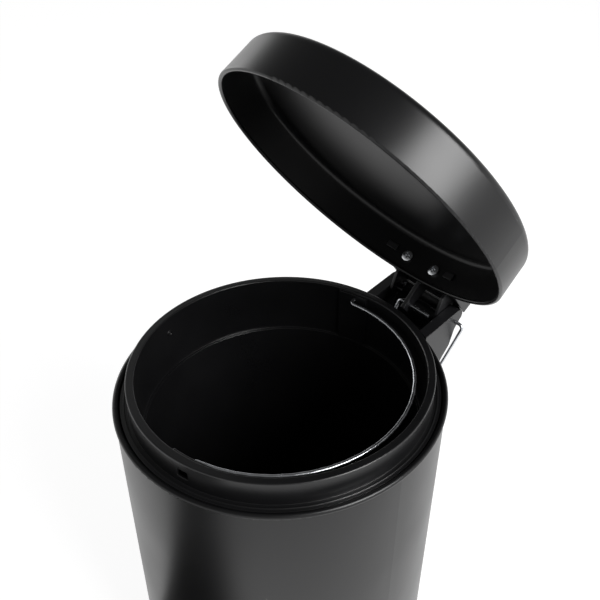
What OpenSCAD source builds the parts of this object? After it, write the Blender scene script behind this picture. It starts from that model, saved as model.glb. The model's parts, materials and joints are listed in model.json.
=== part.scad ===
// Round pedal bin, five litre size: steel can and lid, moulded bucket, and a pedal that lifts the lid.
// The can's axis is Z, the floor is z = 0, the pedal is at the front (-Y) and the hinge at the back (+Y).
// The bin is drawn with its pedal pressed and its lid open.

/* [Can] */
// Outside diameter of the steel body
shell_d = 203; // [196:0.5:244]
// Height of the rolled top edge above the floor
rim_h = 246.5; // [200:0.5:300]
// Thickness of the steel sheet
sheet_t = 0.6; // [0.5:0.05:1]
// Thickness of the rolled top edge
bead_d = 3.6; // [3:0.1:5]
// How far the rolled edge stands out from the body
bead_out = 1.0; // [0.6:0.1:1.6]

/* [Base] */
// Height of the base's skirt
base_h = 26; // [26:0.5:34]
// How far the skirt stands out from the body
skirt_out = 0.8; // [0.4:0.1:2]
// Wall of the skirt
skirt_t = 2.4; // [1.8:0.1:3.2]
// Thickness of the base's floor
floor_t = 2; // [1.6:0.1:3]
// Height of the collar that the body slides over
spigot_h = 14; // [8:0.5:24]
// Wall of that collar
spigot_t = 2; // [1.6:0.1:3]
// Height of the rubber foot ring
foot_h = 5; // [4:0.1:5.4]
// Thickness of rubber under and beside the skirt
foot_t = 1.4; // [1:0.1:1.8]

/* [Bucket] */
// Height of the bucket's collar above the rolled edge
collar_h = 15.3; // [12:0.1:16]
// Width of the collar, outside to inside
collar_w = 5; // [4.6:0.1:5.6]
// Room between the collar and the inside of the rolled edge
collar_gap = 5.3; // [4.6:0.1:7]
// Wall of the bucket
bucket_t = 1.4; // [1.2:0.1:2]
// Depth of the step inside the bucket, below the rolled edge
ledge_drop = 27; // [18:0.5:60]
// Width of that step
ledge_w = 1.8; // [1:0.1:3]
// How much the bucket narrows from the step to its floor
bucket_taper = 7.6; // [4:0.1:12]
// How far the bucket is turned in the can
bucket_turn = 17; // [0:1:40]

/* [Handles] */
// Wire of the bucket's handle and of the carrying handle
wire_d = 2.5; // [2:0.1:3]
// Height of the bucket handle's ends above the rolled edge
bail_up = 8; // [6.5:0.1:9]
// How far the bucket handle's bow is flattened
bail_flat = 3; // [2:0.5:8]
// Depth of the carrying handle, from its holes to its grip
carry_l = 46; // [40:1:80]
// Half the width of the carrying handle's grip
carry_grip = 23.4; // [18:0.2:28]
// Radius of the wire's bends
wire_bend = 2.6; // [2:0.1:3.5]
// How far the carrying handle's elbows stand out beside the housing
carry_out = 5.8; // [4.5:0.1:8]

/* [Lid] */
// Height of the lid
lid_h = 29.6; // [26:0.2:40]
// Height of the shut lid's rim above the rolled edge
lid_gap = 3.9; // [3.6:0.1:6]
// How much the lid narrows from its rim to its top
lid_draw = 0.6; // [0.2:0.1:1.5]
// Radius of the lid's top edge
lid_corner = 5; // [3:0.5:9]
// Thickness of the lid's rolled rim
lid_curl = 2.6; // [2:0.1:3.2]
// How far the pedal opens the lid
open_angle = 54.35; // [40:0.05:60]

/* [Hinge] */
// Distance of the hinge pins behind the rolled edge
hinge_out = 28.9; // [28:0.1:36]
// Height of the hinge pins above the rolled edge
hinge_up = 4.3; // [3.5:0.1:5]
// Diameter of the hinge pins
pin_d = 4; // [3:0.1:4.4]
// Outside width of the hinge housing
housing_w = 63.6; // [60:0.2:72]
// Width of each of the housing's two ears
ear_w = 8.2; // [7.6:0.1:9]
// Radius of the ears round the hinge pins
ear_r = 4.6; // [4:0.1:4.8]
// How far the housing reaches below the rolled edge
housing_drop = 54; // [52:0.5:70]
// Wall of the housing and of the lid bracket
wall = 2.2; // [1.8:0.1:2.6]
// Distance of the carrying handle's holes in front of the hinge pins
carry_in = 2.2; // [2:0.1:3]
// How far those holes are below the hinge pins
carry_down = 4.3; // [4:0.1:5]

/* [Pedal] */
// Diameter of the lifting rod
rod_d = 3; // [2.5:0.1:3.2]
// Distance of the rod beside the middle of the can
rod_side = 8; // [7:0.5:10]
// Distance of the rod's hook in front of the hinge pins, lid shut
hook_in = 10.5; // [9.5:0.1:11.5]
// Depth of the rod's hook below the hinge pins, lid shut
hook_down = 13.6; // [12.5:0.1:14.5]
// Width of the pedal lever
lever_w = 24; // [20:0.5:30]
// Thickness of the lever's steel
lever_t = 2; // [1.5:0.1:2.5]
// Height of the lever's pivot
pivot_h = 13; // [12.5:0.1:14]
// Height of the lever's strip above its pivot
lever_up = 2.5; // [2.3:0.1:3]
// How far the pedal stands out in front of the body
pedal_out = 38.5; // [34:0.5:50]
// Width of the pedal's pad
pad_w = 44; // [36:1:60]
// Length of the pedal's pad
pad_l = 31; // [24:0.5:34]
// Thickness of the pedal's pad
pad_t = 7; // [6:0.1:7.2]

/* [Fits] */
// Radial clearance of a pin in its hole
pin_fit = 0.05; // [0.02:0.01:0.1]
// Room between moulded and steel pieces that sit together
seat_fit = 0.1; // [0.05:0.01:0.2]
// Room between pieces that move past each other
move_gap = 0.8; // [0.6:0.1:1]

/* [Hidden] */

$fn = 64;
round_fn = 180;
over = 1;

black_steel = [0.09, 0.09, 0.095];
black_plastic = [0.06, 0.06, 0.065];
soft_black = [0.13, 0.13, 0.13];
zinc = [0.75, 0.75, 0.77];

// Can
shell_r = shell_d / 2;
shell_in = shell_r - sheet_t;
bead_r = shell_r + bead_out;
bead_mid = bead_r - bead_d / 2;
bead_in = bead_r - bead_d;
base_r = shell_r + skirt_out;
floor_z = base_h + 2;
spigot_r = shell_in - seat_fit;

// Bucket
collar_r = bead_in - collar_gap;
mouth_r = collar_r - collar_w;
flange_r = bead_in - 0.6;
flange_t = 1.5;
bucket_z = floor_z + floor_t;
ledge_z = rim_h - ledge_drop;
bore_r = mouth_r - ledge_w;
heel_r = bore_r - bucket_taper;
pad_face = mouth_r - 1.7;

// Handles
wire_r = wire_d / 2;
joint_more = 0.06;
bail_z = rim_h + bail_up;
bail_bow = pad_face - wire_bend - 0.4;
bail_join = 4;
bail_slot_w = 7;
bail_slot_h = 5.4;

// Lid, as it lies when shut
lid_r = bead_r - 0.1;
lid_top_r = lid_r - lid_draw;
lid_rim_z = rim_h + lid_gap;
lid_top_z = lid_rim_z + lid_h;

// Hinge
hinge_y = bead_r + hinge_out;
hinge_z = rim_h + hinge_up;
ear_out = housing_w / 2;
ear_in = ear_out - ear_w;
cheek_x = ear_in - move_gap - wall;
housing_top_drop = 6;
plate_t = 2.4;
carry_y = hinge_y - carry_in;
carry_z = hinge_z - carry_down;
carry_x = ear_out + wire_r + carry_out;
cover_up = ear_r + 0.6;
rib_t = 3;
guard_r = ear_r + move_gap + 0.1;

// Fasteners
screw_d = 4;
head_d = 7.9;
head_h = 2.4;
head_seat = 0.2;
lid_screw_x = 12.3;
lid_screw_up = 11.9;
tab_x = 26.4;
tab_up = 13;
tab_w = 8.4;
tab_h = 4.4;
housing_screw_x = 18;
housing_screw_drop = 30;

// Lift rod: the hook turns about the hinge pins with the lid
rod_r = rod_d / 2;
hook_shut = [-hook_in, -hook_down];
hook_open = [
    hook_shut[0] * cos(open_angle) + hook_shut[1] * sin(open_angle),
    -hook_shut[0] * sin(open_angle) + hook_shut[1] * cos(open_angle)];
hook_y = hinge_y + hook_open[0];
hook_z = hinge_z + hook_open[1];
hook_rise = hook_open[1] - hook_shut[1];
knee_y = mouth_r + bucket_t + rod_r + 0.9;
knee_z = ledge_z - 0.5;
lever_back = shell_in - 6.5;
press_angle = asin(hook_rise / 2 / lever_back);
foot_y = lever_back * cos(press_angle);
foot_z = pivot_h + lever_back * sin(press_angle);

// Pedal
lever_front = base_r + pedal_out - 5;
flange_l = 16;
lug_x = lever_w / 2 + 1.5;
lug_t = 3.5;
lug_r = 5;
pin_end = lug_x + lug_t + 2;
clip_t = 1;
tab_t = 2;
slot_in = 2.3;
slot_out = 0.4;
slot_low = 0.9;
slot_high = 1.1;
slot_web = 1.6;
pad_front = lever_front + 4.5;
groove_w = 1.6;
groove_deep = 0.6;
groove_pitch = 4.6;
stop_y = 80;
stop_l = 12;

// Left-hand normal of the side from p to q
function side_normal(p, q) = let (u = (q - p) / norm(q - p)) [-u[1], u[0]];

// The corner at b, moved inwards by d from both of its sides
function inner_corner(a, b, c, d) =
    let (n1 = side_normal(a, b), n2 = side_normal(b, c)) b + d * (n1 + n2) / (1 + n1 * n2);

// An outline drawn anticlockwise, moved inwards by d
function inset(pts, d) = let (n = len(pts))
    [for (i = [0:n - 1]) inner_corner(pts[(i + n - 1) % n], pts[i], pts[(i + 1) % n], d)];

// Side view of the housing, from the can outwards: the ears run on up to the hinge pins
housing_back = [
    [shell_r + 3.5, -housing_drop],
    [shell_r + 8.5, -40],
    [shell_r + 16.5, -27],
    [shell_r + 23.5, -18.5],
    [hinge_y - 2.4, -housing_top_drop]];
housing_low = [[shell_r - 20, -housing_drop]];
middle_side = concat(housing_low, housing_back, [[shell_r - 20, -housing_top_drop]]);
ear_side = concat(housing_low, housing_back,
    [[hinge_y + ear_r - 0.4, hinge_up - 1.6], [hinge_y + 1.5, hinge_up + ear_r - 0.6],
     [hinge_y - 1.5, hinge_up + ear_r - 0.2], [shell_r - 2.5, 2], [shell_r - 20, 2]]);

// Side view of the guard behind the hinge pins, measured from them: it closes the gap under the lid bracket
guard_side = [
    [-4.7, -11.5], [-2.7, -11.3], [3.4, -guard_r - 1.5], [6.6, -4.2], [guard_r + wall - 0.1, -1.1],
    [0.6, -1.1], [0.6, -6.2], [-2, -7.6], [-4.7, -9.6]];

// Side view of the lid bracket's cover, measured from the hinge pins, with its underside at low
function cover_side(low) = [[-48, low], [4, low], [4, 14], [-1, 18.6], [-48, 24.4]];

// Side views of the bracket's cheeks and of the rib that the rod's hook passes through
cheek_side = [[0, -ear_r], [-8.3, -10.1], [-15.7, 1], [-15.7, 17], [0, 17]];
rib_side = [[-hook_in - 4.4, -hook_down - 5.4], [-hook_in + 2.2, -hook_down - 5], [-hook_in + 4.6, 3],
    [-hook_in + 4.6, 17], [-hook_in - 7.3, 17], [-hook_in - 7.3, 3]];

// Extrudes a side view, drawn in Y and Z, across x from x1 to x2
module across(x1, x2) {
    translate([x1, 0, 0]) rotate([90, 0, 90]) linear_extrude(x2 - x1) children();
}

// A cylinder along X from x1 to x2
module rod_x(x1, x2, r) {
    translate([x1, 0, 0]) rotate([0, 90, 0]) cylinder(r = r, h = x2 - x1);
}

// A point at distance d from b, on the way to a
function near(b, a, d) = b + d * (a - b) / norm(a - b);

// Rounds each corner of a wire's route: it leaves the straight at distance r and passes inside the corner
function rounded(pts, r) = concat([pts[0]],
    [for (i = [1:len(pts) - 2]) let (p = near(pts[i], pts[i - 1], r), q = near(pts[i], pts[i + 1], r))
        each [p, (p + q) / 4 + pts[i] / 2, q]],
    [pts[len(pts) - 1]]);

// Round wire of diameter d through the points, bent to radius r at each corner
module bent_wire(pts, d, r) {
    route = rounded(pts, r);
    for (i = [1:len(route) - 1]) {
        v = route[i] - route[i - 1];
        translate(route[i - 1]) rotate([0, acos(v[2] / norm(v)), atan2(v[1], v[0])])
            cylinder(d = d, h = norm(v), $fn = 24);
    }
    for (i = [1:len(route) - 2]) translate(route[i]) sphere(d = d + joint_more, $fn = 24);
}

// Pan head screw: its head's seat is z = 0 and its shank runs down
module pan_screw(shank_l) {
    difference() {
        intersection() {
            cylinder(d = head_d, h = head_h);
            translate([0, 0, head_h - 7.2]) sphere(r = 7.2);
        }
        for (turn = [20, 110]) translate([0, 0, head_h]) rotate(turn)
            cube([4.4, 1, 3], center = true);
    }
    translate([0, 0, -shank_l]) cylinder(d = screw_d, h = shank_l + 0.1);
}

// Puts things at the back at radius r, facing outwards in the two directions that pass
// x to either side of the middle at the body's radius
module radial_pair(x, r, z) {
    for (side = [-1, 1]) rotate(90 - side * asin(x / shell_r)) translate([r, 0, z]) children();
}

// Drawn about the hinge pins
module at_hinge() {
    translate([0, hinge_y, hinge_z]) children();
}

// Turns a piece that is drawn with the lid shut to where it is with the lid open
module opened() {
    at_hinge() rotate([-open_angle, 0, 0]) translate([0, -hinge_y, -hinge_z]) children();
}

// Turns a piece of the level lever to where it is with the pedal pressed
module pressed() {
    translate([0, 0, pivot_h]) rotate([press_angle, 0, 0]) children();
}

// Drawn body: a straight tube with a rolled top edge, and a slot at the back for the rod
module body_shell() color(black_steel) difference() {
    rotate_extrude($fn = round_fn) {
        translate([shell_in, base_h]) square([sheet_t, rim_h - base_h]);
        translate([bead_mid, rim_h]) circle(d = bead_d, $fn = 32);
    }
    translate([0, 0, rim_h]) rod_slot(shell_in - 2);
    radial_pair(housing_screw_x, shell_in, rim_h - housing_screw_drop)
        rotate([0, 90, 0]) cylinder(d = screw_d + 2 * pin_fit, h = 6, center = true);
}

// The rod's slot through the body and the housing's back, measured from the rolled edge
module rod_slot(from_y) {
    translate([-rod_side - rod_r - 2, from_y, -housing_drop + 4])
        cube([rod_d + 4, shell_r + plate_t + 3 - from_y, housing_drop - 7.6]);
}

// Moulded base: skirt, floor, the collar inside the body, stiffening ribs and the lever's two lugs
module base() color(black_plastic) difference() {
    union() {
        rotate_extrude($fn = round_fn) {
            translate([base_r - skirt_t, foot_t]) square([skirt_t, base_h - foot_t]);
            translate([spigot_r - spigot_t, base_h - 3]) square([base_r - spigot_r + spigot_t, 3]);
            translate([spigot_r - spigot_t, base_h - 3]) square([spigot_t, spigot_h + 3]);
            translate([0, floor_z]) square([spigot_r - spigot_t / 2, floor_t]);
        }
        for (turn = [0, 35, 145, 180, 215, 325]) rotate(turn) translate([30, -1, floor_z - 8])
            cube([spigot_r - 31, 2, 8 + over]);
        for (side = [-1, 1]) pivot_lug(side);
    }
    translate([0, 0, pivot_h]) rod_x(-pin_end, pin_end, pin_d / 2 + pin_fit);
    translate([-lever_w / 2 - 2, -base_r - over, foot_h + 0.6])
        cube([lever_w + 4, 10, base_h - foot_h - 0.6 + 0.001]);
    translate([-rod_side - rod_r - 2.5, foot_y - 4.5, floor_z - over])
        cube([rod_d + 5, 8.5, floor_t + 2 * over]);
}

// One of the two lugs that hold the lever's pin
module pivot_lug(side) {
    x1 = side > 0 ? lug_x : -lug_x - lug_t;
    across(x1, x1 + lug_t) {
        translate([0, pivot_h]) circle(r = lug_r);
        translate([-lug_r, pivot_h]) square([2 * lug_r, floor_z + over / 2 - pivot_h]);
    }
}

// Rubber ring that clips over the skirt's lower edge
module foot_ring() color(soft_black) rotate_extrude($fn = round_fn) {
    translate([base_r - skirt_t - foot_t, 0]) square([skirt_t + 2 * foot_t, foot_t]);
    translate([base_r, 0]) square([foot_t, foot_h]);
    translate([base_r - skirt_t - foot_t, 0]) square([foot_t, foot_h]);
}

// Rubber pad under the floor that quietens the lever when the lid drops
module stop_pad() color(soft_black) {
    lever_top = pivot_h + (stop_y + stop_l / 2) * sin(press_angle) + (lever_up + lever_t) * cos(press_angle);
    translate([-8, -stop_y - stop_l / 2, lever_top + 0.3])
        cube([16, stop_l, floor_z - lever_top - 0.3]);
}

// Moulded hinge housing on the back of the body: a hollow block with two ears for the hinge pins
module hinge_housing() color(black_plastic) translate([0, 0, rim_h]) difference() {
    union() {
        across(-ear_in - over, ear_in + over) {
            polygon(middle_side);
            translate([hinge_y, hinge_up]) difference() {
                polygon(guard_side);
                circle(r = guard_r);
            }
        }
        for (side = [-1, 1]) ear_block(side) {
            polygon(ear_side);
            translate([hinge_y, hinge_up]) circle(r = ear_r);
        }
    }
    difference() {
        union() {
            across(-ear_in, ear_in) middle_hollow();
            for (side = [-1, 1]) ear_block(side, wall) polygon(inset(ear_side, wall));
        }
        translate([0, 0, -housing_drop]) cylinder(r = shell_r + plate_t, h = housing_drop, $fn = round_fn);
        radial_pair(housing_screw_x, shell_r, -housing_screw_drop) rotate([0, 90, 0]) cylinder(r = 4, h = 9);
    }
    translate([0, 0, -housing_drop - over])
        cylinder(r = shell_r + seat_fit, h = housing_drop + 20, $fn = round_fn);
    translate([0, 0, -bead_d]) cylinder(r = bead_r + 0.35, h = 20, $fn = round_fn);
    rod_slot(shell_r - 5);
    radial_pair(housing_screw_x, shell_r, -housing_screw_drop)
        rotate([0, 90, 0]) cylinder(d = screw_d + 2 * pin_fit, h = 20, center = true);
    translate([0, hinge_y, hinge_up])
        rod_x(-ear_out + 0.8, ear_out - 0.8, pin_d / 2 + pin_fit);
    for (side = [-1, 1]) translate([0, carry_y, hinge_up - carry_down])
        rod_x(side > 0 ? ear_out - wall - over : -ear_out - over,
              side > 0 ? ear_out + over : -ear_out + wall + over, wire_r + pin_fit);
}

// Extrudes a side view over the width of one ear, less a wall on both sides
module ear_block(side, less = 0) {
    x1 = side > 0 ? ear_in : -ear_out;
    across(x1 + less, x1 + ear_w - less) children();
}

// Side view of the hollow between the ears, open at the top
module middle_hollow() {
    polygon(inset(middle_side, wall));
    translate([shell_r, -housing_top_drop - wall - over])
        square([hinge_y - 2.4 - wall * 1.15 - shell_r, wall + 2 * over]);
}

// Screws from inside the body into the housing
module housing_screws() color(zinc)
    radial_pair(housing_screw_x, shell_in - head_seat, rim_h - housing_screw_drop)
        rotate([0, -90, 0]) pan_screw(8);

// Short steel pins, one in each ear
module hinge_pins() color(zinc) at_hinge() for (side = [-1, 1])
    rod_x(side > 0 ? cheek_x - 1 : -ear_out + 1, side > 0 ? ear_out - 1 : -cheek_x + 1, pin_d / 2);

// Drawn steel lid with a rolled rim
module lid_shell() color(black_steel) opened() difference() {
    translate([0, 0, lid_rim_z]) rotate_extrude($fn = round_fn) {
        polygon([
            [lid_r - sheet_t, lid_curl / 2], [lid_r, lid_curl / 2],
            [lid_top_r, lid_h - lid_corner], [lid_top_r - sheet_t, lid_h - lid_corner]]);
        translate([lid_r - lid_curl / 2, lid_curl / 2]) circle(d = lid_curl, $fn = 32);
        translate([lid_top_r - lid_corner, lid_h - lid_corner]) intersection() {
            difference() {
                circle(r = lid_corner);
                circle(r = lid_corner - sheet_t);
            }
            square(lid_corner + over);
        }
        translate([0, lid_h - sheet_t]) square([lid_top_r - lid_corner, sheet_t]);
    }
    radial_pair(lid_screw_x, lid_r, lid_rim_z + lid_screw_up)
        rotate([0, 90, 0]) cylinder(d = screw_d + 2 * pin_fit, h = 6, center = true);
    radial_pair(tab_x, lid_r, lid_rim_z + tab_up)
        cube([6, tab_w + 0.8, tab_h + 0.8], center = true);
}

// Moulded bracket on the back of the lid: hollow cover, cheeks for the pins, and the rod's rib
module lid_bracket() color(black_plastic) opened() {
    difference() {
        union() {
            at_hinge() cover();
            at_hinge() for (side = [-1, 1]) {
                x1 = side > 0 ? cheek_x : -cheek_x - wall;
                across(x1, x1 + wall) {
                    circle(r = ear_r);
                    polygon(cheek_side);
                }
                x2 = side > 0 ? cheek_x - 7 : -cheek_x - over / 2;
                translate([0, -6, -6.1]) rod_x(x2, x2 + 7 + over / 2, 1);
            }
            at_hinge() across(-rib_t / 2, rib_t / 2) polygon(rib_side);
            radial_pair(lid_screw_x, lid_r, lid_rim_z + lid_screw_up)
                rotate([0, 90, 0]) cylinder(r = 4.2, h = 10);
            radial_pair(tab_x, lid_r, lid_rim_z + tab_up)
                translate([0.1, 0, 0]) cube([4.6, tab_w, tab_h], center = true);
        }
        lid_seat();
        at_hinge() rod_x(-ear_out, ear_out, pin_d / 2 + pin_fit);
        at_hinge() translate([0, hook_shut[0], hook_shut[1]])
            rod_x(-over - rib_t, over + rib_t, rod_r + pin_fit);
        radial_pair(lid_screw_x, lid_r, lid_rim_z + lid_screw_up)
            rotate([0, 90, 0]) cylinder(d = screw_d + 2 * pin_fit, h = 18, center = true);
    }
}

// The bracket's hollow cover, measured from the hinge pins
module cover() {
    difference() {
        across(-ear_out, ear_out) polygon(cover_side(cover_up));
        difference() {
            across(-ear_out + wall, ear_out - wall)
                polygon(inset(cover_side(cover_up - wall - over), wall));
            translate([0, -hinge_y, -hinge_z])
                cylinder(r = lid_r + wall + 0.3, h = lid_top_z + 20, $fn = round_fn);
        }
    }
}

// What the lid's wall takes out of the bracket, all but the snap tabs
module lid_seat() {
    difference() {
        translate([0, 0, lid_rim_z - 20]) cylinder(r = lid_r + seat_fit, h = lid_h + 30, $fn = round_fn);
        radial_pair(tab_x, lid_r, lid_rim_z + tab_up)
            translate([0.1, 0, 0]) cube([4.6, tab_w, tab_h], center = true);
    }
}

// Two screws from inside the lid into the bracket
module lid_screws() color(zinc) opened()
    radial_pair(lid_screw_x, lid_r - sheet_t - lid_draw * lid_screw_up / lid_h - head_seat,
        lid_rim_z + lid_screw_up)
        rotate([0, -90, 0]) pan_screw(9);

// Bent steel rod from the lever up to the lid bracket
module lift_rod() color(zinc) bent_wire([
    [4, foot_y, foot_z],
    [-rod_side, foot_y, foot_z],
    [-rod_side, knee_y, knee_z],
    [-rod_side, hook_y, hook_z],
    [cheek_x - 1.4, hook_y, hook_z]], rod_d, wire_bend);

// Push-on clip that keeps the rod in the lever
module rod_clip() color(zinc) translate([0, foot_y, foot_z]) difference() {
    rod_x(tab_t / 2 + 0.4, tab_t / 2 + 0.4 + clip_t, rod_r + 1.8);
    rod_x(0, 4 + over, rod_r + pin_fit);
}

// Pressed steel lever: a strip with flanges for its pin and a tongue with a slot for the rod
module pedal_lever() color(zinc) pressed() difference() {
    union() {
        translate([-lever_w / 2, -lever_front, lever_up])
            cube([lever_w, lever_front + lever_back - 14, lever_t]);
        for (side = [-1, 1]) {
            x1 = side > 0 ? lever_w / 2 - lever_t : -lever_w / 2;
            across(x1, x1 + lever_t) {
                circle(r = lug_r - 1);
                translate([-flange_l / 2, 0]) square([flange_l, lever_up + lever_t / 2]);
            }
        }
        across(-tab_t / 2, tab_t / 2) translate([lever_back - 20, -rod_r - slot_low - slot_web])
            square([20 + rod_r + slot_out + slot_web, rod_r + slot_low + slot_web + lever_up + lever_t]);
    }
    rod_x(-lever_w, lever_w, pin_d / 2 + pin_fit);
    across(-over - tab_t / 2, over + tab_t / 2) translate([lever_back - rod_r - slot_in, -rod_r - slot_low])
        square([rod_d + slot_in + slot_out, rod_d + slot_low + slot_high]);
}

// Moulded pad that slides over the front of the lever
module pedal_pad() color(black_plastic) pressed() difference() {
    translate([0, 0, lever_up + lever_t / 2 - pad_t / 2]) linear_extrude(pad_t) {
        translate([-pad_w / 2 + 8, -pad_front]) square([pad_w - 16, pad_l]);
        translate([-pad_w / 2, -pad_front + 8]) square([pad_w, pad_l - 8]);
        for (side = [-1, 1]) translate([side * (pad_w / 2 - 8), -pad_front + 8]) circle(r = 8);
    }
    translate([-lever_w / 2 - seat_fit, -lever_front - seat_fit, lever_up - seat_fit])
        cube([lever_w + 2 * seat_fit, pad_l + 10, lever_t + 2 * seat_fit]);
    groove_z = lever_up + lever_t / 2 + pad_t / 2 - groove_deep;
    for (row = [0:4]) translate([-pad_w / 2 + 7, -pad_front + 5 + row * groove_pitch, groove_z])
        cube([pad_w - 14, groove_w, 1]);
}

// Pin that the lever turns on
module pedal_pin() color(zinc) translate([0, 0, pivot_h]) rod_x(-pin_end, pin_end, pin_d / 2);

// Push-on clips at the pin's ends
module pedal_pin_clips() color(zinc) translate([0, 0, pivot_h]) difference() {
    for (side = [-1, 1]) {
        x1 = side > 0 ? lug_x + lug_t + 0.4 : -lug_x - lug_t - 0.4 - clip_t;
        rod_x(x1, x1 + clip_t, pin_d / 2 + 2);
    }
    rod_x(-pin_end - over, pin_end + over, pin_d / 2 + pin_fit);
}

// Everything on the bucket is turned with it
module in_bucket() {
    rotate(bucket_turn) children();
}

// Moulded bucket: collar, flange, step, tapered wall and floor, with two pads for the handle
module bucket() color(black_plastic) in_bucket() difference() {
    union() {
        rotate_extrude($fn = round_fn) bucket_section();
        for (side = [0, 180]) rotate(side) handle_pad(side == 0);
        rotate(-177) translate([pad_face + 0.9, 0, rim_h + 3]) rotate([0, 90, 0]) cylinder(r = 2, h = 1.4);
    }
    for (side = [0, 180]) rotate(side) {
        translate([0, pad_face - over, bail_z]) rotate([-90, 0, 0])
            cylinder(r = wire_r + pin_fit, h = 6);
        translate([-bail_slot_w / 2, collar_r - bucket_t - over / 2, bail_z - bail_slot_h / 2 - 1])
            cube([bail_slot_w, bucket_t + over, bail_slot_h]);
    }
    rotate(-177) translate([pad_face - 1, 0, rim_h + 3]) rotate([0, 90, 0]) cylinder(r = 1.1, h = 2.6);
}

// Half section of the bucket
module bucket_section() {
    collar_z = rim_h + collar_h;
    edge_r = 0.75;
    flange_z = rim_h - flange_t;
    translate([collar_r - bucket_t, flange_z]) square([bucket_t, flange_t + collar_h - edge_r]);
    translate([mouth_r, ledge_z]) square([bucket_t, collar_z - edge_r - ledge_z]);
    translate([mouth_r + edge_r, collar_z - 2 * edge_r]) square([collar_w - 2 * edge_r, 2 * edge_r]);
    for (r = [mouth_r + edge_r, collar_r - edge_r]) translate([r, collar_z - edge_r])
        circle(r = edge_r, $fn = 24);
    translate([collar_r - bucket_t, flange_z]) square([flange_r - collar_r + bucket_t, flange_t]);
    translate([flange_r - bucket_t, flange_z - 3]) square([bucket_t, 3 + flange_t / 2]);
    translate([(collar_r + flange_r) / 2 - 0.3, flange_z]) square([0.6, flange_t + 0.35]);
    translate([bore_r, ledge_z - bucket_t]) square([mouth_r - bore_r + bucket_t, bucket_t]);
    polygon([
        [bore_r, ledge_z], [heel_r, bucket_z + bucket_t], [heel_r, bucket_z],
        [heel_r + bucket_t, bucket_z], [bore_r + bucket_t, ledge_z]]);
    translate([0, bucket_z]) square([heel_r + over / 2, bucket_t]);
}

// Thickened pad that takes one end of the handle; the back one runs on down to the step
module handle_pad(to_step) {
    low = to_step ? ledge_z - rim_h : -8;
    intersection() {
        translate([-11, pad_face - 4, rim_h + low]) cube([22, 12, collar_h - 1.8 - low]);
        difference() {
            cylinder(r = mouth_r + bucket_t / 2, h = rim_h + collar_h, $fn = round_fn);
            translate([0, 0, -over]) cylinder(r = pad_face, h = rim_h + collar_h + 2 * over, $fn = round_fn);
        }
    }
}

// Wire handle of the bucket, folded down to one side: a bow whose ends turn out through the pads
module bail_handle() color(zinc) in_bucket() translate([0, 0, bail_z]) {
    end_turn = acos((bail_join + bail_flat) / bail_bow);
    end_y = bail_bow * sin(end_turn);
    intersection() {
        translate([-bail_flat, 0, 0]) rotate_extrude($fn = round_fn)
            translate([bail_bow, 0]) circle(d = wire_d, $fn = 24);
        translate([bail_join, -bail_bow - wire_d, -wire_d])
            cube([bail_bow, 2 * (bail_bow + wire_d), 2 * wire_d]);
    }
    for (side = [-1, 1]) {
        translate([bail_join, side * end_y, 0]) sphere(d = wire_d + joint_more, $fn = 24);
        bent_wire([
            [bail_join, side * end_y, 0],
            [0, side * (end_y + bail_join / tan(end_turn)), 0],
            [0, side * (collar_r - bucket_t - 0.4), 0]], wire_d, wire_bend);
    }
}

// Wire carrying handle that hangs from the housing, its arms drawn in towards the grip
module carry_handle() color(zinc) translate([0, carry_y, carry_z]) bent_wire([
    [-ear_out + wall + 0.5, 0, 0],
    [-carry_x, 0, 0],
    [-carry_grip, 0, -carry_l],
    [carry_grip, 0, -carry_l],
    [carry_x, 0, 0],
    [ear_out - wall - 0.5, 0, 0]], wire_d, wire_bend);

body_shell();
base();
foot_ring();
stop_pad();
hinge_housing();
housing_screws();
hinge_pins();
lid_shell();
lid_bracket();
lid_screws();
lift_rod();
rod_clip();
pedal_lever();
pedal_pad();
pedal_pin();
pedal_pin_clips();
bucket();
bail_handle();
carry_handle();
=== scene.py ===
"""Round pedal bin with its lid held open: finishes, bent wires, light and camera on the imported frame."""
import json
import math

import bpy
from mathutils import Matrix, Vector


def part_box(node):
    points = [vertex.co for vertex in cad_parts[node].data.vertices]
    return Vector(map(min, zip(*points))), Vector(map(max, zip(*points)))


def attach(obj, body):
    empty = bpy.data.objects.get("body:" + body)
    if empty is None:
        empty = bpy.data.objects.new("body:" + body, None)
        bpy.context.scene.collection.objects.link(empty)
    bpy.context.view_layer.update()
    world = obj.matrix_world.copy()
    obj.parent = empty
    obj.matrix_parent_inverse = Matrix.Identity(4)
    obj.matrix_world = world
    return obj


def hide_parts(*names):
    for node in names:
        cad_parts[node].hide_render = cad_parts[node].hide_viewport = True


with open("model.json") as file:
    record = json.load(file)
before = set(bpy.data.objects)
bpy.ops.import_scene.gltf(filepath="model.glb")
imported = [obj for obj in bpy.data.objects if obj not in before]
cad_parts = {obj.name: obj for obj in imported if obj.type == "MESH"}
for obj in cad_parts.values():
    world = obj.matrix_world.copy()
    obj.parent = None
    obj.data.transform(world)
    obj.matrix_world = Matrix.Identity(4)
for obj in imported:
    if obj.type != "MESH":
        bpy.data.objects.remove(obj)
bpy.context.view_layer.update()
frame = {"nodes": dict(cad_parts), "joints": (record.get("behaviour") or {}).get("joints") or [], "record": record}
nodes = frame["nodes"]
joints = {joint["name"]: joint for joint in frame["joints"]}
MM = 0.001


# ---------------------------------------------------------------- finishes

def colour(hex_code):
    """An sRGB hex colour as linear red, green, blue and alpha."""
    parts = [int(hex_code[i:i + 2], 16) / 255 for i in (0, 2, 4)]
    return [p / 12.92 if p <= 0.04045 else ((p + 0.055) / 1.055) ** 2.4 for p in parts] + [1]


def add_node(tree, kind, settings=None, values=None, links=None):
    """A node of that kind, with its settings, the values on its sockets, and links to its sockets."""
    node = tree.nodes.new(kind)
    for name, value in (settings or {}).items():
        setattr(node, name, value)
    for socket, value in (values or {}).items():
        node.inputs[socket].default_value = value
    for socket, source in (links or {}).items():
        tree.links.new(source, node.inputs[socket])
    return node


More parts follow.
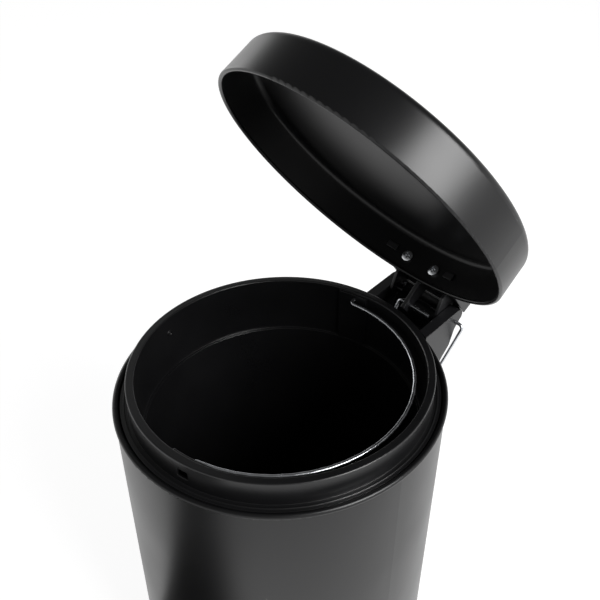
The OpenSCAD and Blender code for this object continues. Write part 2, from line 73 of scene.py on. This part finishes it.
NOISE, RANGE = "ShaderNodeTexNoise", "ShaderNodeMapRange"
MIX, BUMP = "ShaderNodeMix", "ShaderNodeBump"
BY_COLOUR = {"data_type": "RGBA"}
# Sockets of a Mix node that mixes colours: its factor, its two colours, and the mixed colour
SHARE, DARK, LIGHT, MIXED = 0, 6, 7, 2
# Noise seldom leaves this middle range, which is spread over a finish's range of gloss
MIDDLE = {"From Min": 0.3, "From Max": 0.7}
BEVEL_SAMPLES = 6
TABLE_GLOW = 0.9


def wire_up(tree, shader, base, gloss, bump):
    """Leads a finish's colour, roughness and relief to its shader."""
    tree.links.new(base, shader.inputs["Base Color"])
    tree.links.new(gloss, shader.inputs["Roughness"])
    tree.links.new(bump.outputs["Normal"], shader.inputs["Normal"])


def finish(name, **surface):
    """A new material whose shader has these values, with its tree, its shader and its coordinates."""
    material = bpy.data.materials.new(name)
    material.use_nodes = True
    tree = material.node_tree
    tree.nodes.clear()
    shader = add_node(tree, "ShaderNodeBsdfPrincipled", values=surface)
    add_node(tree, "ShaderNodeOutputMaterial", links={"Surface": shader.outputs["BSDF"]})
    place = add_node(tree, "ShaderNodeTexCoord").outputs["Object"]
    return material, tree, shader, place


def satin_powder_coat():
    """Polyester powder coat on drawn steel: sprayed dry and baked, so it flows into one even satin
    skin. The eye sees broad soft highlights, a faint orange peel in them, and a few specks of dust."""
    material, tree, shader, place = finish("satin_powder_coat", IOR=1.4)
    # Handling marks, 70 mm across, change the gloss a little
    handled = add_node(tree, NOISE, values={"Scale": 1 / (70 * MM), "Detail": 3}, links={"Vector": place})
    gloss = add_node(tree, RANGE, values={**MIDDLE, "To Min": 0.31, "To Max": 0.37},
                     links={"Value": handled.outputs["Fac"]})
    # Orange peel has waves of 2 to 3 mm. Grains of powder are 0.1 mm, drawn at 0.9 mm so that they show
    peel = add_node(tree, NOISE, values={"Scale": 1 / (2.4 * MM), "Detail": 1}, links={"Vector": place})
    grain = add_node(tree, NOISE, values={"Scale": 1 / (0.9 * MM), "Detail": 2}, links={"Vector": place})
    skin = add_node(tree, "ShaderNodeMath", {"operation": "MULTIPLY_ADD"}, {1: 0.2},
                    {0: grain.outputs["Fac"], 2: peel.outputs["Fac"]})
    speck = add_node(tree, "ShaderNodeTexVoronoi", values={"Scale": 1 / (24 * MM)}, links={"Vector": place})
    dust = add_node(tree, RANGE, values={"From Min": 0.012, "From Max": 0.02, "To Min": 1, "To Max": 0},
                    links={"Value": speck.outputs["Distance"]})
    black = add_node(tree, MIX, BY_COLOUR, {DARK: colour("060607"), LIGHT: colour("4a4947")},
                     {SHARE: dust.outputs["Result"]})
    bump = add_node(tree, BUMP, values={"Distance": 0.008 * MM}, links={"Height": skin.outputs[0]})
    wire_up(tree, shader, black.outputs[MIXED], gloss.outputs["Result"], bump)
    return material


def moulded_black(name, dark, light, rough, grain_mm, grain_deep_mm, edge_mm):
    """Polypropylene coloured black in the mass and injection moulded against a spark-eroded or a
    stoned mould: the eye sees a soft sheen, a fine even grain, paler flow marks and soft edges."""
    material, tree, shader, place = finish(name, IOR=1.49)
    flow = add_node(tree, NOISE, values={"Scale": 1 / (45 * MM), "Detail": 4}, links={"Vector": place})
    gloss = add_node(tree, RANGE, values={**MIDDLE, "To Min": rough - 0.03, "To Max": rough + 0.04},
                     links={"Value": flow.outputs["Fac"]})
    # Spark erosion leaves grains of 0.1 to 0.3 mm, drawn three times as coarse so that they show
    grain = add_node(tree, NOISE, values={"Scale": 1 / (grain_mm * MM), "Detail": 3},
                     links={"Vector": place})
    black = add_node(tree, MIX, BY_COLOUR, {DARK: colour(dark), LIGHT: colour(light)},
                     {SHARE: flow.outputs["Fac"]})
    soft_edge = add_node(tree, "ShaderNodeBevel", {"samples": BEVEL_SAMPLES}, {"Radius": edge_mm * MM})
    bump = add_node(tree, BUMP, values={"Distance": grain_deep_mm * MM},
                    links={"Height": grain.outputs["Fac"], "Normal": soft_edge.outputs["Normal"]})
    wire_up(tree, shader, black.outputs[MIXED], gloss.outputs["Result"], bump)
    return material


def black_rubber():
    """Black thermoplastic rubber, moulded: matt, with a grey bloom and a fine grain."""
    material, tree, shader, place = finish("black_rubber", IOR=1.52)
    bloom = add_node(tree, NOISE, values={"Scale": 1 / (18 * MM), "Detail": 4}, links={"Vector": place})
    gloss = add_node(tree, RANGE, values={**MIDDLE, "To Min": 0.7, "To Max": 0.85},
                     links={"Value": bloom.outputs["Fac"]})
    grain = add_node(tree, NOISE, values={"Scale": 1 / (0.8 * MM), "Detail": 3}, links={"Vector": place})
    black = add_node(tree, MIX, BY_COLOUR, {DARK: colour("171717"), LIGHT: colour("242423")},
                     {SHARE: bloom.outputs["Fac"]})
    soft_edge = add_node(tree, "ShaderNodeBevel", {"samples": BEVEL_SAMPLES}, {"Radius": 0.5 * MM})
    bump = add_node(tree, BUMP, values={"Distance": 0.03 * MM},
                    links={"Height": grain.outputs["Fac"], "Normal": soft_edge.outputs["Normal"]})
    wire_up(tree, shader, black.outputs[MIXED], gloss.outputs["Result"], bump)
    return material


def bright_zinc(name, dark, light, rough, patch_mm, pit_mm, pit_deep_mm):
    """Mild steel with an electroplated zinc skin: the eye sees bright blue-white metal that is a
    little cloudy, with the marks of drawing or pressing under the plating."""
    material, tree, shader, place = finish(name, Metallic=1.0)
    cloud = add_node(tree, NOISE, values={"Scale": 1 / (patch_mm * MM), "Detail": 3},
                     links={"Vector": place})
    gloss = add_node(tree, RANGE, values={**MIDDLE, "To Min": rough - 0.05, "To Max": rough + 0.08},
                     links={"Value": cloud.outputs["Fac"]})
    pits = add_node(tree, NOISE, values={"Scale": 1 / (pit_mm * MM), "Detail": 3}, links={"Vector": place})
    metal = add_node(tree, MIX, BY_COLOUR, {DARK: colour(dark), LIGHT: colour(light)},
                     {SHARE: cloud.outputs["Fac"]})
    bump = add_node(tree, BUMP, values={"Distance": pit_deep_mm * MM},
                    links={"Height": pits.outputs["Fac"]})
    wire_up(tree, shader, metal.outputs[MIXED], gloss.outputs["Result"], bump)
    return material


def lit_white_acrylic():
    """Opal acrylic sheet, lit from below as on a still-life table: an even glowing white, so that
    almost no shadow shows on it."""
    material, tree, shader, place = finish("lit_white_acrylic", IOR=1.49, **{
        "Emission Color": colour("ffffff"), "Emission Strength": TABLE_GLOW})
    cloud = add_node(tree, NOISE, values={"Scale": 1 / (60 * MM), "Detail": 3}, links={"Vector": place})
    gloss = add_node(tree, RANGE, values={"To Min": 0.8, "To Max": 0.9},
                     links={"Value": cloud.outputs["Fac"]})
    white = add_node(tree, MIX, BY_COLOUR, {DARK: colour("878787"), LIGHT: colour("8b8b8b")},
                     {SHARE: cloud.outputs["Fac"]})
    bump = add_node(tree, BUMP, values={"Distance": 0.01 * MM}, links={"Height": cloud.outputs["Fac"]})
    wire_up(tree, shader, white.outputs[MIXED], gloss.outputs["Result"], bump)
    return material


def black_velvet_mirrored_shade():
    """Cotton velvet, black, as a stand-in for shade: the pile takes in the light, so it shows only as a
    dark patch, painted shade, in what mirrors it."""
    material, tree, shader, place = finish("black_velvet_mirrored_shade", IOR=1.4)
    pile = add_node(tree, NOISE, values={"Scale": 1 / (3 * MM), "Detail": 3}, links={"Vector": place})
    gloss = add_node(tree, RANGE, values={"To Min": 0.9, "To Max": 1}, links={"Value": pile.outputs["Fac"]})
    black = add_node(tree, MIX, BY_COLOUR, {DARK: colour("030303"), LIGHT: colour("080808")},
                     {SHARE: pile.outputs["Fac"]})
    bump = add_node(tree, BUMP, values={"Distance": 0.2 * MM}, links={"Height": pile.outputs["Fac"]})
    wire_up(tree, shader, black.outputs[MIXED], gloss.outputs["Result"], bump)
    return material


coat = satin_powder_coat()
bucket_black = moulded_black("polypropylene_bucket", "0a0a0b", "111112", 0.30, 1.1, 0.006, 0.7)
hinge_black = moulded_black("polypropylene_hinge", "0f0f10", "161618", 0.38, 0.9, 0.012, 0.6)
base_black = moulded_black("polypropylene_base", "0f0f10", "161617", 0.44, 0.9, 0.016, 0.6)
pedal_black = moulded_black("polypropylene_pedal", "111112", "1a1a1b", 0.48, 1.0, 0.02, 0.8)
rubber = black_rubber()
plated_wire = bright_zinc("zinc_plated_wire", "b4b6ba", "dcdee2", 0.22, 5, 0.7, 0.004)
plated_screw = bright_zinc("zinc_plated_screw", "b9bbbe", "dfe1e4", 0.24, 3, 0.6, 0.004)
plated_pin = bright_zinc("zinc_plated_pin", "aeb0b4", "d2d4d8", 0.28, 4, 0.6, 0.004)
plated_strip = bright_zinc("zinc_plated_strip", "9c9ea2", "c4c6ca", 0.36, 9, 1.2, 0.01)

FINISH_OF_SLOT = {
    "painted_steel_body": coat, "painted_steel_lid": coat, "base_plastic": base_black,
    "foot_rubber": rubber, "hinge_plastic": hinge_black, "pedal_plastic": pedal_black,
    "bucket_plastic": bucket_black, "zinc_screws": plated_screw, "steel_pins": plated_pin,
    "zinc_wire": plated_wire, "zinc_strip": plated_strip}

for part in frame["record"]["subparts"]:
    piece = nodes[part["node"]]
    piece.data.materials.clear()
    piece.data.materials.append(FINISH_OF_SLOT[part["material_slot"]])


# ---------------------------------------------------------------- bent wires

WIRE_SIDES = 20
DEGREES_A_STEP = 7
WIRE_BEND = 2.6 * MM
ROD_KNEE_DROP = 42.8 * MM
ROD_KNEE_BEND = 12 * MM
ROD_FOOT_LENGTH = 4 * MM
ARM_OUTSIDE_EAR = 5.8 * MM
GRIP_HALF = 23.4 * MM
GRIP_BEND = 3 * MM
END_INSIDE_EAR = 2.7 * MM
# How much the coarser CAD wire's box is wider than the wire
BOX_EXCESS = 0.03 * MM
BOW_SET_BACK = 3 * MM
BOW_END_IN_FRONT = 4 * MM
BOW_SIDES = 5
SMALL_TURN = 0.01


def reach(node, direction):
    """How far a CAD node reaches against a direction and along it, from the origin."""
    along = [vertex.co.dot(direction) for vertex in nodes[node].data.vertices]
    return min(along), max(along)


def bent_wire(name, corners, wire_r, node, body):
    """Round wire that stands for a CAD node. It is drawn out from its first end, straight and then
    round each corner (point, bend radius) in turn, as on a wire bender."""
    bpy.ops.object.select_all(action="DESELECT")
    points = [Vector(point) for point, bend_r in corners]
    heading = (points[1] - points[0]).normalized()
    bpy.ops.mesh.primitive_circle_add(vertices=WIRE_SIDES, radius=wire_r, fill_type="NGON",
                                      location=points[0],
                                      rotation=heading.to_track_quat("Z", "Y").to_euler())
    wire = bpy.context.object
    wire.name = name
    bpy.ops.object.transform_apply(location=True, rotation=True, scale=True)
    bpy.ops.object.mode_set(mode="EDIT")
    bpy.ops.mesh.select_mode(type="FACE")
    bpy.ops.mesh.select_all(action="SELECT")
    at = points[0]
    for i in range(1, len(points) - 1):
        bend_r = corners[i][1]
        turned = (points[i + 1] - points[i]).normalized()
        angle = heading.angle(turned)
        start = points[i] - heading * bend_r * math.tan(angle / 2)
        if (start - at).length > 0.01 * MM:
            bpy.ops.mesh.extrude_region_move(TRANSFORM_OT_translate={"value": start - at})
        axis = heading.cross(turned).normalized()
        centre = start + axis.cross(heading) * bend_r
        # Spin turns clockwise about its axis, so the axis is given reversed
        steps = max(4, round(math.degrees(angle) / DEGREES_A_STEP))
        bpy.ops.mesh.spin(steps=steps, angle=angle, center=centre, axis=-axis)
        at = points[i] + turned * bend_r * math.tan(angle / 2)
        heading = turned
    bpy.ops.mesh.extrude_region_move(TRANSFORM_OT_translate={"value": points[-1] - at})
    bpy.ops.mesh.select_all(action="SELECT")
    bpy.ops.mesh.remove_doubles(threshold=0.001 * MM)
    bpy.ops.mesh.normals_make_consistent(inside=False)
    bpy.ops.mesh.select_all(action="DESELECT")
    bpy.ops.object.mode_set(mode="OBJECT")
    for face in wire.data.polygons:
        face.select = len(face.vertices) > 4
    bpy.ops.object.mode_set(mode="EDIT")
    bpy.ops.mesh.bevel(offset=wire_r / 4, segments=2, affect="EDGES")
    bpy.ops.object.mode_set(mode="OBJECT")
    bpy.ops.object.shade_smooth_by_angle(angle=math.radians(40))
    wire.data.materials.append(plated_wire)
    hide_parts(node)
    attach(wire, body)


up = Vector((0, 0, 1))

# The lifting rod: hooked into the bracket's rib at the top, and through the lever's tongue below
hook = Vector(joints["rod_hook"]["pos_m"])
rod_low, rod_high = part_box("lift_rod")
clip_low, clip_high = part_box("rod_clip")
foot = (clip_low + clip_high) / 2
rod_r = foot.z - rod_low.z
rod_x = rod_low.x + rod_r
knee = Vector((rod_x, rod_low.y + rod_r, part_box("bucket")[1].z - ROD_KNEE_DROP))
bent_wire("lifting_rod_wire", [
    ((ROD_FOOT_LENGTH, foot.y, foot.z), 0), ((rod_x, foot.y, foot.z), WIRE_BEND), (knee, ROD_KNEE_BEND),
    ((rod_x, hook.y, hook.z), WIRE_BEND), ((rod_high.x, hook.y, hook.z), 0)], rod_r, "lift_rod", "rod")

# The carrying handle: it turns in the housing's ears and hangs down behind the body
pivot = Vector(joints["carry_swing"]["pos_m"])
ear_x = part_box("hinge_housing")[1].x
bail_low, bail_high = reach("bail_handle", up)
wire_r = (bail_high - bail_low) / 2 - BOX_EXCESS
arm_x = ear_x + wire_r + ARM_OUTSIDE_EAR
hole_x = ear_x - END_INSIDE_EAR
grip_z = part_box("carry_handle")[0].z + wire_r
bent_wire("carrying_handle_wire", [
    ((-hole_x, pivot.y, pivot.z), 0), ((-arm_x, pivot.y, pivot.z), WIRE_BEND),
    ((-GRIP_HALF, pivot.y, grip_z), GRIP_BEND), ((GRIP_HALF, pivot.y, grip_z), GRIP_BEND),
    ((arm_x, pivot.y, pivot.z), WIRE_BEND), ((hole_x, pivot.y, pivot.z), 0)],
    wire_r, "carry_handle", "carry")

# The bucket's handle: a flattened bow whose ends turn out through the pads
swing = joints["bail_swing"]
ends = -Vector(swing["axis"]).normalized()
front = ends.cross(up)
middle_z = swing["pos_m"][2]
end_reach = reach("bail_handle", ends)[1]
bow_front = reach("bail_handle", front)[1] - wire_r
bow_r = bow_front + BOW_SET_BACK
first = math.acos((BOW_END_IN_FRONT + BOW_SET_BACK) / bow_r)
step = 2 * first / BOW_SIDES


def bow_point(angle, radius):
    """A point of the bow's plane at that angle from its front, about the bow's own centre."""
    return (front * (radius * math.cos(angle) - BOW_SET_BACK) + ends * (radius * math.sin(angle))
            + up * middle_z)


def bow_end(side):
    """Where the bow's line, carried on from its end, meets the line of the handle's ends."""
    start = bow_point(side * first, bow_r)
    along = bow_point(side * (first + SMALL_TURN), bow_r / math.cos(SMALL_TURN)) - start
    return start + along * (-start.dot(front) / along.dot(front))


bow = [(ends * -end_reach + up * middle_z, 0), (bow_end(-1), WIRE_BEND)]
for side in range(BOW_SIDES):
    bow.append((bow_point(-first + (side + 0.5) * step, bow_r / math.cos(step / 2)), bow_r))
bow += [(bow_end(1), WIRE_BEND), (ends * end_reach + up * middle_z, 0)]
bent_wire("bucket_handle_wire", bow, wire_r, "bail_handle", "bail")


# ---------------------------------------------------------------- floor, light and camera

TABLE_R = 3
STRIP_PLACE, STRIP_SIZE, STRIP_TURN = (0.0, -0.27, 0.001), (0.15, 0.3), -2
# Strengths of the white sweep and the dark ceiling, and the heights between which one becomes the other
SWEEP, CEILING = 1.05, 0.16
SWEEP_UP_TO, CEILING_FROM = 0.05, 0.5
# Each softbox's place, width in metres and power in watts, and the point that they all face
SOFTBOXES = {
    "key_softbox": ((1.265, 0.18, 1.125), 0.8, 34),
    "low_left_softbox": ((-1.2, 0.1, 0.55), 0.5, 1.2)}
AIM = Vector((0, 0.05, 0.33))
CAMERA_PLACE = (0.2634, -0.2070, 0.5507)
CAMERA_ROLL = 2.73

bpy.ops.object.select_all(action="DESELECT")
bpy.ops.mesh.primitive_circle_add(vertices=96, radius=TABLE_R, fill_type="NGON", location=(0, 0, 0))
floor = bpy.context.object
floor.name = "lit_table"
floor.data.materials.append(lit_white_acrylic())

# A strip of velvet lies in front of the bin as a stand-in for shade: a dark sheet that puts painted
# shade, a dark band, into the body's reflection. It is hidden from the camera, from diffuse light and
# from shadows, so it shows only as that dark band mirrored in the body
bpy.ops.object.select_all(action="DESELECT")
bpy.ops.mesh.primitive_plane_add(size=1, location=STRIP_PLACE)
strip = bpy.context.object
strip.name = "mirrored_shade_velvet_strip"
strip.scale = (*STRIP_SIZE, 1)
strip.rotation_euler = (0, 0, math.radians(STRIP_TURN))
bpy.ops.object.transform_apply(location=True, rotation=True, scale=True)
strip.data.materials.append(black_velvet_mirrored_shade())
# Seen only in mirrored light: the strip is painted shade that shows only in the body's reflection
strip.visible_camera = strip.visible_diffuse = strip.visible_shadow = False

# The room: a white sweep all round, up to a little above the table, under a dark ceiling
world = bpy.data.worlds.new("white_sweep")
bpy.context.scene.world = world
world.use_nodes = True
room = world.node_tree
where = add_node(room, "ShaderNodeTexCoord").outputs["Generated"]
height = add_node(room, "ShaderNodeSeparateXYZ", links={"Vector": where}).outputs["Z"]
bright = add_node(room, RANGE, {"interpolation_type": "SMOOTHSTEP"},
                  {"From Min": SWEEP_UP_TO, "From Max": CEILING_FROM, "To Min": SWEEP, "To Max": CEILING},
                  {"Value": height})
room.links.new(bright.outputs["Result"], room.nodes["Background"].inputs["Strength"])
room.nodes["Background"].inputs["Color"].default_value = colour("ffffff")

for name, (place, size, watts) in SOFTBOXES.items():
    lamp = bpy.data.lights.new(name, "AREA")
    lamp.size, lamp.energy = size, watts
    holder = bpy.data.objects.new(name, lamp)
    bpy.context.scene.collection.objects.link(holder)
    holder.location = place
    holder.rotation_euler = (AIM - Vector(place)).to_track_quat("-Z", "Y").to_euler()

bpy.context.scene.view_settings.view_transform = "Standard"

forward = Vector((-0.5993, 0.5968, -0.5336)).normalized()
level = Vector((0.7056, 0.7086, 0)).normalized()
upright = level.cross(forward)
tilt = math.radians(CAMERA_ROLL)
side_on = level * math.cos(tilt) + upright * math.sin(tilt)
top_on = upright * math.cos(tilt) - level * math.sin(tilt)
lens = bpy.data.cameras.new("camera")
lens.sensor_width = 36
lens.lens = 42.63
lens.shift_x, lens.shift_y = -0.0875, -0.0735
lens.clip_start, lens.clip_end = 0.02, 40
camera = bpy.data.objects.new("camera", lens)
bpy.context.scene.collection.objects.link(camera)
turn = Matrix((side_on, top_on, -forward)).transposed()
camera.matrix_world = Matrix.Translation(CAMERA_PLACE) @ turn.to_4x4()
bpy.context.scene.camera = camera
